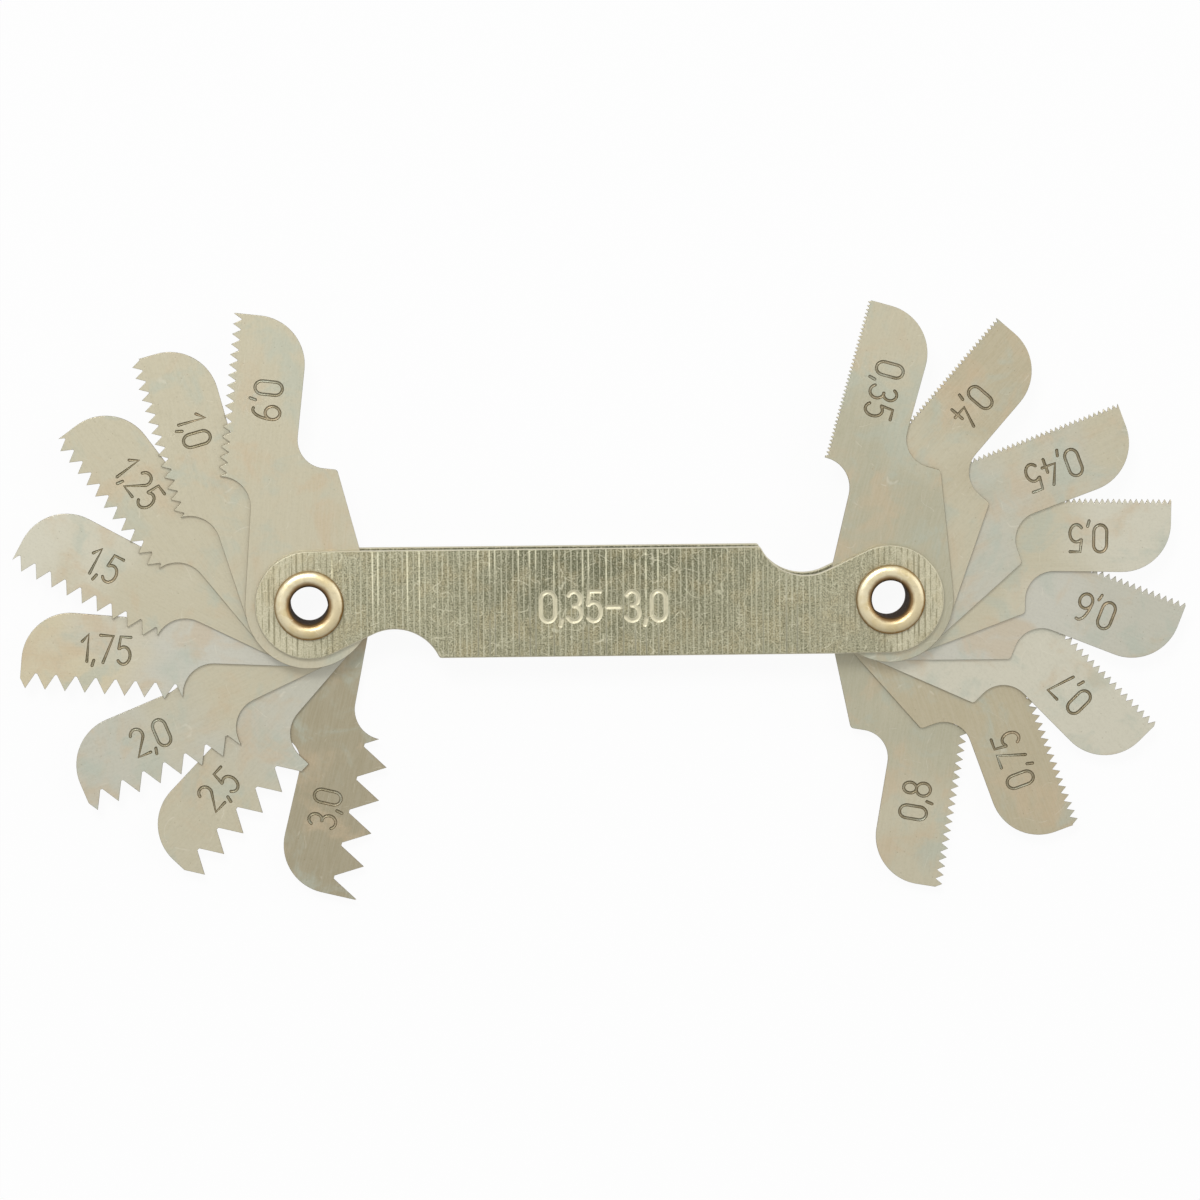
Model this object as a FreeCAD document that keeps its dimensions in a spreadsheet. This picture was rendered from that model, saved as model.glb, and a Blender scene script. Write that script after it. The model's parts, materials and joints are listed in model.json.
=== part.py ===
# Thread pitch gauge: two fans of toothed steel leaves turn on two hollow rivets between two
# cover plates. Millimetres, +Z up towards the front cover. The origin is on the left rivet's
# axis at half the gauge's thickness, and +X runs to the right rivet.
import FreeCAD, Part
import math
import os
import Sketcher

# Driving dimensions: alias, value, what it measures.
SIZES = [
    ("pivot_spacing", 51.0, "between the axes of the two rivets"),
    ("cover_width", 9.5, "across the covers' long edges, and twice the radius of their ends"),
    ("cover_thickness", 0.6, "sheet of the front and rear cover"),
    ("notch_radius", 4.32, "finger notch in a cover's edge"),
    ("notch_along", 7.45, "finger notch's centre, from its rivet along the cover"),
    ("notch_across", 6.5, "finger notch's centre, from its rivet out past the edge"),
    ("corner_round", 0.3, "corner where a finger notch meets the straight edge"),
    ("rivet_bore_radius", 1.65, "open hole through a rivet"),
    ("rivet_wall", 0.35, "sheet of a rivet"),
    ("rim_radius", 3.05, "rivet's rolled rim, out from its axis to its edge"),
    ("rim_height", 0.65, "rolled rim above the cover it presses on"),
    ("rim_inner_slope", 0.4, "width of the rim's slope beside the bore"),
    ("rim_outer_slope", 0.3, "width of the rim's slope beside the cover"),
    ("cover_clearance", 0.02, "radial, rivet's shank in a cover"),
    ("leaf_clearance", 0.05, "radial, rivet's shank in a leaf"),
    ("leaf_thickness", 0.4, "sheet of a leaf"),
    ("leaf_gap", 0.05, "between leaves, and between leaf and cover"),
    ("tang_radius", 5.6, "round end of a leaf, about its rivet"),
    ("tang_back_angle", 21.5, "tang's back edge, from the blade's direction"),
    ("tang_front_angle", 2.4, "tang's toothed-side edge, from the blade's direction"),
    ("shoulder_reach", 12.05, "rivet to the shoulder that a nail catches"),
    ("shoulder_round", 0.35, "corner of the shoulder"),
    ("nail_notch_radius", 2.5, "hollow between the shoulder and the blade's back"),
    ("blade_back", 2.45, "blade's back edge, out from the rivet"),
    ("blade_rise", 3.1, "from the tang's round to the thread's middle line"),
    ("heel_reach", 10.45, "rivet to the heel, where the teeth start"),
    ("heel_round", 2.7, "hollow between the tang's edge and the heel"),
    ("heel_margin", 0.25, "least height of blade between that hollow and the thread's middle line"),
    ("tip_reach", 24.8, "rivet to the blade's tip"),
    ("tip_round", 4.3, "corner between the blade's back and its tip"),
    ("thread_angle", 60.0, "between the flanks of a tooth"),
    ("root_flat", 0.1, "flat at the root of a groove, as a part of the pitch"),
    ("cutter_overrun", 0.3, "of the tooth cutter, past the crests"),
]

# Leaves from the front cover to the rear: pitch, from the tip to the last crest, and the
# direction of the blade in the open fan, anticlockwise from +X.
LEFT_FAN = [
    (0.90, 0.05, 83.6),
    (1.00, 0.58, 105.4),
    (1.25, 0.95, 126.6),
    (1.50, 1.17, 151.5),
    (1.75, 0.50, 174.9),
    (2.00, 0.50, 202.5),
    (2.50, 0.92, 226.3),
    (3.00, 0.05, 256.5),
]
RIGHT_FAN = [
    (0.35, 0.19, 74.1),
    (0.40, 0.05, 49.1),
    (0.45, 0.43, 20.2),
    (0.50, 0.08, 358.8),
    (0.60, 0.13, 338.3),
    (0.70, 0.20, 314.3),
    (0.75, 0.42, 289.8),
    (0.80, 0.34, 260.2),
]

# Relations between the driving dimensions, each written once.
LAYERS = len(LEFT_FAN)
STACK = f"({LAYERS} * Sizes.leaf_thickness + {LAYERS + 1} * Sizes.leaf_gap)"
COVER_FACE = f"({STACK} / 2 + Sizes.cover_thickness)"
SHANK_RADIUS = "(Sizes.rivet_bore_radius + Sizes.rivet_wall)"
HEEL_ROUND = "min(Sizes.heel_round; Sizes.blade_rise - Sizes.heel_margin)"


def add_sheet(doc):
    """The driving dimensions, one row each, and three rows for each leaf."""
    rows = list(SIZES)
    for pitch, crest_from_tip, direction in LEFT_FAN + RIGHT_FAN:
        mark = leaf_mark(pitch)
        rows.append((f"pitch_{mark}", pitch, f"pitch of leaf {mark}"))
        rows.append((f"last_crest_{mark}", crest_from_tip, f"tip to last crest, leaf {mark}"))
        rows.append((f"direction_{mark}", direction, f"blade direction, leaf {mark}"))
    sheet = doc.addObject("Spreadsheet::Sheet", "Sizes")
    for number, (alias, value, meaning) in enumerate(rows, start=1):
        sheet.set(f"A{number}", meaning)
        sheet.set(f"B{number}", str(value))
        sheet.setAlias(f"B{number}", alias)
    doc.recompute()
    return sheet


def leaf_mark(pitch):
    """1.25 gives 1_25, as used in names."""
    return f"{pitch:.2f}".replace(".", "_")


def size(obj, expression):
    """The present value of an expression, as a plain number."""
    value = obj.evalExpression(expression)
    return float(getattr(value, "Value", value))


def polar(centre, radius, degrees):
    angle = math.radians(degrees)
    return (centre[0] + radius * math.cos(angle), centre[1] + radius * math.sin(angle))


def origin_plane(body, role):
    return next(plane for plane in body.Origin.OriginFeatures if plane.Role == role)


def add_body(doc, label):
    body = doc.addObject("PartDesign::Body", label)
    body.Label = label
    return body


def add_sketch(body, name, role="XY_Plane"):
    sketch = body.newObject("Sketcher::SketchObject", name)
    sketch.AttachmentSupport = [(origin_plane(body, role), "")]
    sketch.MapMode = "FlatFace"
    return sketch


class Outline:
    """A closed run of lines and arcs in a sketch. Each element starts where the last one ends."""

    def __init__(self, sketch):
        self.sketch = sketch
        self.ends = []

    def line(self, start, end):
        first = FreeCAD.Vector(*start, 0)
        last = FreeCAD.Vector(*end, 0)
        number = self.sketch.addGeometry(Part.LineSegment(first, last), False)
        self.ends.append((number, 1, 2))
        return number

    def arc(self, centre, radius, start, end):
        """Anticlockwise where end is the larger angle, otherwise clockwise."""
        circle = Part.Circle(FreeCAD.Vector(*centre, 0), FreeCAD.Vector(0, 0, 1), radius)
        low, high = sorted((start, end))
        curve = Part.ArcOfCircle(circle, math.radians(low), math.radians(high))
        number = self.sketch.addGeometry(curve, False)
        self.ends.append((number, 1, 2) if start < end else (number, 2, 1))
        return number

    def close(self, corners=()):
        """Joins the elements: tangent everywhere, except after those listed in corners."""
        following = self.ends[1:] + self.ends[:1]
        for (number, _, last), (other, first, _) in zip(self.ends, following):
            kind = "Coincident" if number in corners else "Tangent"
            self.sketch.addConstraint(Sketcher.Constraint(kind, number, last, other, first))

    def upright(self, *numbers):
        for number in numbers:
            self.sketch.addConstraint(Sketcher.Constraint("Vertical", number))

    def level(self, *numbers):
        for number in numbers:
            self.sketch.addConstraint(Sketcher.Constraint("Horizontal", number))

    def at_origin(self, number):
        self.sketch.addConstraint(Sketcher.Constraint("Coincident", number, 3, -1, 1))

    def dimension(self, name, expression, kind, *where):
        """A named dimension bound to the sheet."""
        value = size(self.sketch, expression)
        value = math.radians(value) if kind == "Angle" else value
        index = self.sketch.addConstraint(Sketcher.Constraint(kind, *where, value))
        self.sketch.renameConstraint(index, name)
        unit = " * 1 deg" if kind == "Angle" else " * 1 mm"
        self.sketch.setExpression(f"Constraints.{name}", f"({expression}){unit}")

    def hole(self, name, centre, radius, along="0"):
        """A round hole on the sketch's level axis, at the distance along it."""
        middle = FreeCAD.Vector(size(self.sketch, along), 0, 0)
        circle = Part.Circle(middle, FreeCAD.Vector(0, 0, 1), size(self.sketch, radius))
        number = self.sketch.addGeometry(circle, False)
        if along == "0":
            self.at_origin(number)
        else:
            self.sketch.addConstraint(Sketcher.Constraint("Coincident", number, 3, centre, 3))
        self.dimension(name, radius, "Radius", number)


def pad(body, sketch, name, expression):
    feature = body.newObject("PartDesign::Pad", name)
    feature.Profile = (sketch, [""])
    feature.setExpression("Length", f"{expression} * 1 mm")
    return feature


def place(body, along="0", up="0", turn=None):
    """Sets the sub-part at its pivot and height, and turns it about its pivot."""
    body.Placement = FreeCAD.Placement()
    body.setExpression(".Placement.Base.x", f"{along} * 1 mm")
    body.setExpression(".Placement.Base.z", f"{up} * 1 mm")
    if turn:
        body.Placement = FreeCAD.Placement(
            FreeCAD.Vector(), FreeCAD.Rotation(FreeCAD.Vector(0, 0, 1), size(body, turn)))
        body.setExpression(".Placement.Rotation.Angle", f"{turn} * 1 deg")


def make_cover(doc, label, up):
    """A plate with round ends. Each end flows into the finger notch beside it, and the two
    notches are half a turn apart."""
    body = add_body(doc, label)
    sketch = add_sketch(body, f"{label}_outline")
    outline = Outline(sketch)
    spacing = size(sketch, "Sizes.pivot_spacing")
    half = size(sketch, "Sizes.cover_width") / 2
    notch = size(sketch, "Sizes.notch_radius")
    corner = size(sketch, "Sizes.corner_round")
    along = size(sketch, "Sizes.notch_along")
    across = size(sketch, "Sizes.notch_across")
    # The ramp is the tangent that crosses between the round end and the notch.
    ramp = math.degrees(math.asin((half + notch) / math.hypot(along, across)) - math.atan2(across, along))
    corner_along = along + math.sqrt((notch + corner) ** 2 - (across - half + corner) ** 2)
    corner_angle = math.degrees(math.asin((across - half + corner) / (notch + corner)))
    ends, notches, corners, edges = [], [], [], []
    for turned in (False, True):
        def spot(x, y):
            return (spacing - x, -y) if turned else (x, y)
        base = 180 if turned else 0
        ends.append(outline.arc(spot(0, 0), half, base + 90, base + 270 + ramp))
        ramp_start = polar((0, 0), half, ramp - 90)
        ramp_end = polar((along, -across), notch, ramp + 90)
        outline.line(spot(*ramp_start), spot(*ramp_end))
        notches.append(outline.arc(spot(along, -across), notch, base + ramp + 90, base + corner_angle))
        corners.append(outline.arc(
            spot(corner_along, corner - half), corner, base + 180 + corner_angle, base + 270))
        edges.append(outline.line(spot(corner_along, -half), spot(spacing, -half)))
    outline.close()
    outline.at_origin(ends[0])
    outline.level(*edges)
    outline.sketch.addConstraint(Sketcher.Constraint("PointOnObject", ends[1], 3, -1))
    outline.dimension("spacing", "Sizes.pivot_spacing", "DistanceX", ends[0], 3, ends[1], 3)
    for side, (end, hollow, rounded) in enumerate(zip(ends, notches, corners)):
        outline.dimension(f"end_radius_{side}", "Sizes.cover_width / 2", "Radius", end)
        outline.dimension(f"notch_radius_{side}", "Sizes.notch_radius", "Radius", hollow)
        outline.dimension(f"corner_round_{side}", "Sizes.corner_round", "Radius", rounded)
        near, far = ((end, 3), (hollow, 3))
        from_end, to_notch = (near, far) if side == 0 else (far, near)
        outline.dimension(f"notch_along_{side}", "Sizes.notch_along", "DistanceX", *from_end, *to_notch)
        outline.dimension(f"notch_across_{side}", "Sizes.notch_across", "DistanceY", *to_notch, *from_end)
    hole = f"{SHANK_RADIUS} + Sizes.cover_clearance"
    outline.hole("left_hole", ends[0], hole)
    outline.hole("right_hole", ends[1], hole, "Sizes.pivot_spacing")
    pad(body, sketch, f"{label}_plate", "Sizes.cover_thickness")
    place(body, up=up)
    return body


def make_rivet(doc, label, along):
    """A tube of thin sheet, rolled over at both ends and pressed down on the covers. In section
    each rim slopes up from the bore to a level crown, and down to its edge on the cover."""
    body = add_body(doc, label)
    sketch = add_sketch(body, f"{label}_section", "XZ_Plane")
    outline = Outline(sketch)
    bore = size(sketch, "Sizes.rivet_bore_radius")
    shank = size(sketch, SHANK_RADIUS)
    rim = size(sketch, "Sizes.rim_radius")
    crown_start = bore + size(sketch, "Sizes.rim_inner_slope")
    crown_end = rim - size(sketch, "Sizes.rim_outer_slope")
    face = size(sketch, COVER_FACE)
    crown = face + size(sketch, "Sizes.rim_height")
    upper = [(bore, face), (crown_start, crown), (crown_end, crown), (rim, face), (shank, face)]
    corners = upper + [(x, -z) for x, z in reversed(upper)]
    edges = [outline.line(start, end) for start, end in zip(corners, corners[1:] + corners[:1])]
    outline.close(corners=edges)
    for first, second in zip(edges[:5], reversed(edges[4:9])):
        sketch.addConstraint(Sketcher.Constraint("Symmetric", first, 1, second, 2, -1))
    inner_slope, level_crown, outer_slope, seat = edges[:4]
    outline.level(level_crown, seat)
    outline.dimension("bore", "Sizes.rivet_bore_radius", "DistanceX", -1, 1, inner_slope, 1)
    outline.dimension("bore_top", COVER_FACE, "DistanceY", -1, 1, inner_slope, 1)
    for name, slope in (("rim_inner_slope", inner_slope), ("rim_outer_slope", outer_slope)):
        outline.dimension(name, f"Sizes.{name}", "DistanceX", slope, 1, slope, 2)
    outline.dimension("rim_height", "Sizes.rim_height", "DistanceY", seat, 1, level_crown, 2)
    outline.dimension("rim_radius", "Sizes.rim_radius", "DistanceX", -1, 1, seat, 1)
    outline.dimension("rim_seat", COVER_FACE, "DistanceY", -1, 1, seat, 1)
    outline.dimension("shank", SHANK_RADIUS, "DistanceX", -1, 1, seat, 2)
    turned = body.newObject("PartDesign::Revolution", f"{label}_turned")
    turned.Profile = (sketch, [""])
    turned.ReferenceAxis = (sketch, ["V_Axis"])
    place(body, along=along)
    return body


def make_leaf(doc, pitch, along, layer):
    """A blank pierced for the rivet, with a round tang, a shoulder and a blade, into whose edge
    the thread form is cut groove by groove."""
    mark = leaf_mark(pitch)
    depth = f"(Sizes.pitch_{mark} * (1 - Sizes.root_flat) / 2 / tan(Sizes.thread_angle * 1 deg / 2))"
    middle = "(Sizes.tang_radius + Sizes.blade_rise)"
    crest = f"({middle} + {depth} / 2)"
    root = f"({middle} - {depth} / 2)"
    body = add_body(doc, f"leaf_{mark}")
    sketch = add_sketch(body, f"blank_{mark}")
    draw_blank(sketch, crest)
    pad(body, sketch, f"leaf_blank_{mark}", "Sizes.leaf_thickness")
    doc.recompute()
    uncut = body.Shape.Volume
    cut_teeth(doc, body, mark, crest, root)
    if not body.Shape.Volume < uncut:
        raise RuntimeError(f"no teeth were cut in leaf_{mark}")
    up = f"({STACK} / 2 - {layer + 1} * (Sizes.leaf_thickness + Sizes.leaf_gap))"
    place(body, along, up, f"Sizes.direction_{mark}")
    return body


def draw_blank(sketch, crest):
    """The outline of a leaf, its blade along +X with the toothed edge on the +Y side."""
    outline = Outline(sketch)
    tang = size(sketch, "Sizes.tang_radius")
    back_angle = size(sketch, "Sizes.tang_back_angle")
    front_angle = size(sketch, "Sizes.tang_front_angle")
    shoulder = size(sketch, "Sizes.shoulder_reach")
    shoulder_round = size(sketch, "Sizes.shoulder_round")
    nail = size(sketch, "Sizes.nail_notch_radius")
    back = size(sketch, "Sizes.blade_back")
    heel = size(sketch, "Sizes.heel_reach")
    heel_round = size(sketch, HEEL_ROUND)
    tip = size(sketch, "Sizes.tip_reach")
    tip_round = size(sketch, "Sizes.tip_round")
    top = size(sketch, crest)
    # Both tang edges touch the round end, so these centres lie at set distances from them.
    back_turn = math.radians(back_angle)
    shoulder_x = shoulder - shoulder_round
    shoulder_y = (shoulder_x * math.sin(back_turn) - tang + shoulder_round) / math.cos(back_turn)
    front_turn = math.radians(front_angle)
    heel_x = heel - heel_round
    heel_y = (heel_x * math.sin(front_turn) + tang + heel_round) / math.cos(front_turn)

    round_end = outline.arc((0, 0), tang, 90 + front_angle, 270 + back_angle)
    corner = (shoulder_x, shoulder_y)
    back_edge = outline.line(polar((0, 0), tang, back_angle - 90),
                             polar(corner, shoulder_round, back_angle - 90))
    shoulder_corner = outline.arc(corner, shoulder_round, back_angle - 90, 0)
    shoulder_edge = outline.line((shoulder, shoulder_y), (shoulder, back - nail))
    nail_notch = outline.arc((shoulder + nail, back - nail), nail, 180, 90)
    blade_back = outline.line((shoulder + nail, back), (tip - tip_round, back))
    tip_corner = outline.arc((tip - tip_round, back + tip_round), tip_round, -90, 0)
    tip_edge = outline.line((tip, back + tip_round), (tip, top))
    crest_line = outline.line((tip, top), (heel, top))
    heel_edge = outline.line((heel, top), (heel, heel_y))
    hollow = outline.arc((heel_x, heel_y), heel_round, 0, front_angle - 90)
    front_edge = outline.line(polar((heel_x, heel_y), heel_round, front_angle - 90),
                              polar((0, 0), tang, front_angle + 90))
    outline.close(corners=(tip_edge, crest_line))
    outline.at_origin(round_end)
    outline.upright(shoulder_edge, tip_edge, heel_edge)
    outline.level(blade_back, crest_line)
    outline.dimension("tang_radius", "Sizes.tang_radius", "Radius", round_end)
    outline.dimension("shoulder_round", "Sizes.shoulder_round", "Radius", shoulder_corner)
    outline.dimension("nail_notch_radius", "Sizes.nail_notch_radius", "Radius", nail_notch)
    outline.dimension("tip_round", "Sizes.tip_round", "Radius", tip_corner)
    outline.dimension("heel_round", HEEL_ROUND, "Radius", hollow)
    outline.dimension("back_angle", "Sizes.tang_back_angle", "Angle", back_edge)
    outline.dimension("front_angle", "Sizes.tang_front_angle + 180", "Angle", front_edge)
    outline.dimension("shoulder_reach", "Sizes.shoulder_reach", "DistanceX", -1, 1, shoulder_edge, 1)
    outline.dimension("blade_back", "Sizes.blade_back", "DistanceY", -1, 1, blade_back, 1)
    outline.dimension("tip_reach", "Sizes.tip_reach", "DistanceX", -1, 1, tip_edge, 1)
    outline.dimension("crest_line", crest, "DistanceY", -1, 1, crest_line, 1)
    outline.dimension("heel_reach", "Sizes.heel_reach", "DistanceX", -1, 1, heel_edge, 1)
    outline.hole("rivet_hole", round_end, f"{SHANK_RADIUS} + Sizes.leaf_clearance")


def cut_teeth(doc, body, mark, crest, root):
    """One V groove with a narrow flat at its root, half a pitch past the last crest, then a row
    of them towards the heel."""
    pitch = f"Sizes.pitch_{mark}"
    first_groove = f"(Sizes.tip_reach - Sizes.last_crest_{mark} + {pitch} / 2)"
    half_flat = f"({pitch} * Sizes.root_flat / 2)"
    over = f"({crest} + Sizes.cutter_overrun)"
    sketch = add_sketch(body, f"groove_{mark}")
    outline = Outline(sketch)
    x = size(sketch, first_groove)
    flat = size(sketch, half_flat)
    low = size(sketch, root)
    high = size(sketch, over)
    lean = size(sketch, "Sizes.thread_angle") / 2
    wide = flat + (high - low) * math.tan(math.radians(lean))
    root_line = outline.line((x - flat, low), (x + flat, low))
    tip_flank = outline.line((x + flat, low), (x + wide, high))
    over_line = outline.line((x + wide, high), (x - wide, high))
    heel_flank = outline.line((x - wide, high), (x - flat, low))
    outline.close(corners=(root_line, tip_flank, over_line, heel_flank))
    outline.level(root_line, over_line)
    outline.dimension("flat_start", f"{first_groove} - {half_flat}", "DistanceX", -1, 1, root_line, 1)
    outline.dimension("flat_width", f"{half_flat} * 2", "DistanceX", root_line, 1, root_line, 2)
    outline.dimension("root_height", root, "DistanceY", -1, 1, root_line, 1)
    outline.dimension("over_height", over, "DistanceY", -1, 1, over_line, 1)
    outline.dimension("tip_lean", "90 - Sizes.thread_angle / 2", "Angle", tip_flank)
    outline.dimension("heel_lean", "270 + Sizes.thread_angle / 2", "Angle", heel_flank)
    groove = body.newObject("PartDesign::Pocket", f"first_groove_{mark}")
    groove.Profile = (sketch, [""])
    groove.Type = "ThroughAll"
    groove.Reversed = True
    doc.recompute()
    row = body.newObject("PartDesign::LinearPattern", f"teeth_{mark}")
    row.Originals = [groove]
    row.Direction = (sketch, ["H_Axis"])
    row.Reversed = True
    row.Mode = "Spacing"
    row.setExpression("Offset", f"{pitch} * 1 mm")
    row.setExpression("Occurrences", f"floor(({first_groove} - Sizes.heel_reach) / {pitch}) + 1")
    body.Tip = row
    doc.recompute()


def check(doc, bodies):
    """Stops before anything is written if a feature failed or a sub-part isn't a sound solid."""
    for item in doc.Objects:
        if "Invalid" in item.State or "Error" in item.State:
            raise RuntimeError(f"{item.Name}: {item.State}")
    for item in doc.findObjects("Sketcher::SketchObject"):
        if not item.FullyConstrained:
            raise RuntimeError(f"{item.Name} is not fully constrained")
    for body in bodies:
        if body.Shape.isNull() or not body.Shape.isValid() or len(body.Shape.Solids) != 1:
            raise RuntimeError(f"{body.Label} is not one sound solid")


doc = FreeCAD.newDocument("thread_pitch_gauge")
add_sheet(doc)
bodies = [
    make_cover(doc, "front_cover", f"{STACK} / 2"),
    make_cover(doc, "rear_cover", f"-{COVER_FACE}"),
    make_rivet(doc, "eyelet_left", "0"),
    make_rivet(doc, "eyelet_right", "Sizes.pivot_spacing"),
]
for fan, along in ((LEFT_FAN, "0"), (RIGHT_FAN, "Sizes.pivot_spacing")):
    for layer, (pitch, _, _) in enumerate(fan):
        bodies.append(make_leaf(doc, pitch, along, layer))
doc.recompute()
check(doc, bodies)

os.makedirs("parts", exist_ok=True)
for body in bodies:
    body.Shape.exportStep(f"parts/{body.Label}.step")
    box = body.Shape.BoundBox
    print(f"{body.Label:13s} volume {body.Shape.Volume:8.3f}  box {box.XMin:8.3f} {box.YMin:8.3f} "
          f"{box.ZMin:7.3f} to {box.XMax:8.3f} {box.YMax:8.3f} {box.ZMax:7.3f}")
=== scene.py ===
# Thread pitch gauge: toothed steel leaves on two hollow rivets between two cover plates.
# It runs from top to bottom in the order in which the gauge is put together.
import json
import math

import bmesh
import bpy
from mathutils import Matrix, Vector, noise


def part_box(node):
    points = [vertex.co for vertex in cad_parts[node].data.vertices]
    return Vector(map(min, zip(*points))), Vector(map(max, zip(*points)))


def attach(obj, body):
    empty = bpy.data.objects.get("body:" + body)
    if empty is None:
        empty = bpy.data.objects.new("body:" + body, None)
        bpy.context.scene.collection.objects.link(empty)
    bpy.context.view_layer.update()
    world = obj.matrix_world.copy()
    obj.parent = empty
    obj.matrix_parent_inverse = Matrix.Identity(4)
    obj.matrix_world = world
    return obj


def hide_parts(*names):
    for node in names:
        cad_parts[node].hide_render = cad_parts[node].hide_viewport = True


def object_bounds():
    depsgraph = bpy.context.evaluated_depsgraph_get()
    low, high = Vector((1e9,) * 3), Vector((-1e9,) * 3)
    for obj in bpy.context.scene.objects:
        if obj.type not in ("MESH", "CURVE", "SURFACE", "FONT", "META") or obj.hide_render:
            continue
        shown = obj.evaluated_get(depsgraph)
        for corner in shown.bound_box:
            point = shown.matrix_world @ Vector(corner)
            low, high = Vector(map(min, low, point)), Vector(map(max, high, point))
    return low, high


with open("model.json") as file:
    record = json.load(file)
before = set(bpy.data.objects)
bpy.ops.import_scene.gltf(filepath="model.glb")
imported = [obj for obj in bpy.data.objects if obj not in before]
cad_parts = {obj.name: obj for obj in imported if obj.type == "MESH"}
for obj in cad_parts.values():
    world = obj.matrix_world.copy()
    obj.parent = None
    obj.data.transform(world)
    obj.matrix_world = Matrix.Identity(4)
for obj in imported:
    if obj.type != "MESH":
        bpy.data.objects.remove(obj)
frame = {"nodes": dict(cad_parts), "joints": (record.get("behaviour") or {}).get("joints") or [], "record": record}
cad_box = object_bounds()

# ---------------------------------------------------------------------------------------------
# Cover plates
# Two equal blanks of 0.6 mm steel with round ends and a finger notch in each long edge. They were
# ground across before blanking, which leaves rows of fine lines, and the edges are tumbled round.

MM = 0.001
PLATE_EDGE_ROUND = 0.13
SAME_POINT = 0.001
FLAT_WITHIN = math.radians(0.5)
LEVEL = 0.985
CREASE = math.radians(38)


def blank(node, edge_round, steps):
    """The CAD piece in millimetres as a new piece, its rims between face and edge rounded."""
    mesh = frame["nodes"][node].data.copy()
    mesh.materials.clear()
    mesh.transform(Matrix.Scale(1 / MM, 4))
    work = bmesh.new()
    work.from_mesh(mesh)
    bmesh.ops.remove_doubles(work, verts=work.verts, dist=SAME_POINT)
    bmesh.ops.dissolve_limit(work, angle_limit=FLAT_WITHIN, verts=work.verts, edges=work.edges)
    rounded = work.edges.layers.float.new("bevel_weight_edge")
    for edge in work.edges:
        flats = [abs(face.normal.z) > LEVEL for face in edge.link_faces]
        if sorted(flats) == [False, True]:
            edge[rounded] = 1.0
    work.to_mesh(mesh)
    work.free()
    piece = add_piece(f"{node}_blank", mesh)
    tumble = piece.modifiers.new("tumble", "BEVEL")
    tumble.limit_method = "WEIGHT"
    tumble.width = edge_round
    tumble.segments = steps
    tumble.use_clamp_overlap = False
    work_in(piece)
    return piece


def add_piece(name, mesh):
    """A new piece in the scene, made of the mesh."""
    piece = bpy.data.objects.new(name, mesh)
    bpy.context.scene.collection.objects.link(piece)
    return piece


def work_in(piece):
    """Works the piece's modifiers into its mesh and takes them off."""
    old = piece.data
    graph = bpy.context.evaluated_depsgraph_get()
    mesh = bpy.data.meshes.new_from_object(piece.evaluated_get(graph), depsgraph=graph)
    piece.modifiers.clear()
    piece.data = mesh
    bpy.data.meshes.remove(old)


def cut(piece, cutter):
    """Cuts the cutter's shape out of the piece. The cut faces take the cutter's material."""
    step = piece.modifiers.new("cut", "BOOLEAN")
    step.object = cutter
    step.operation = "DIFFERENCE"
    step.solver = "EXACT"
    step.use_self = True
    step.material_mode = "TRANSFER"
    work_in(piece)
    mesh = cutter.data
    bpy.data.objects.remove(cutter)
    bpy.data.meshes.remove(mesh)


def finish_piece(piece, name, node, body):
    """Gives the piece its smooth shading, its true size in metres and its place in the frame."""
    mesh = piece.data
    mesh.shade_smooth()
    for face in mesh.polygons:
        if abs(face.normal.z) > LEVEL:
            face.use_smooth = False
    mesh.set_sharp_from_angle(angle=CREASE)
    weigh = piece.modifiers.new("even_faces", "WEIGHTED_NORMAL")
    weigh.mode = "FACE_AREA"
    weigh.keep_sharp = True
    work_in(piece)
    piece.data.transform(Matrix.Scale(MM, 4))
    piece.name = name
    piece.data.name = name
    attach(piece, body)
    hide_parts(node)


def srgb(red, green, blue):
    """A colour as seen on a screen, 0 to 255, as the shader's linear values."""
    values = []
    for channel in (red, green, blue):
        share = channel / 255
        values.append(share / 12.92 if share <= 0.04045 else ((share + 0.055) / 1.055) ** 2.4)
    return (*values, 1.0)


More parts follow.
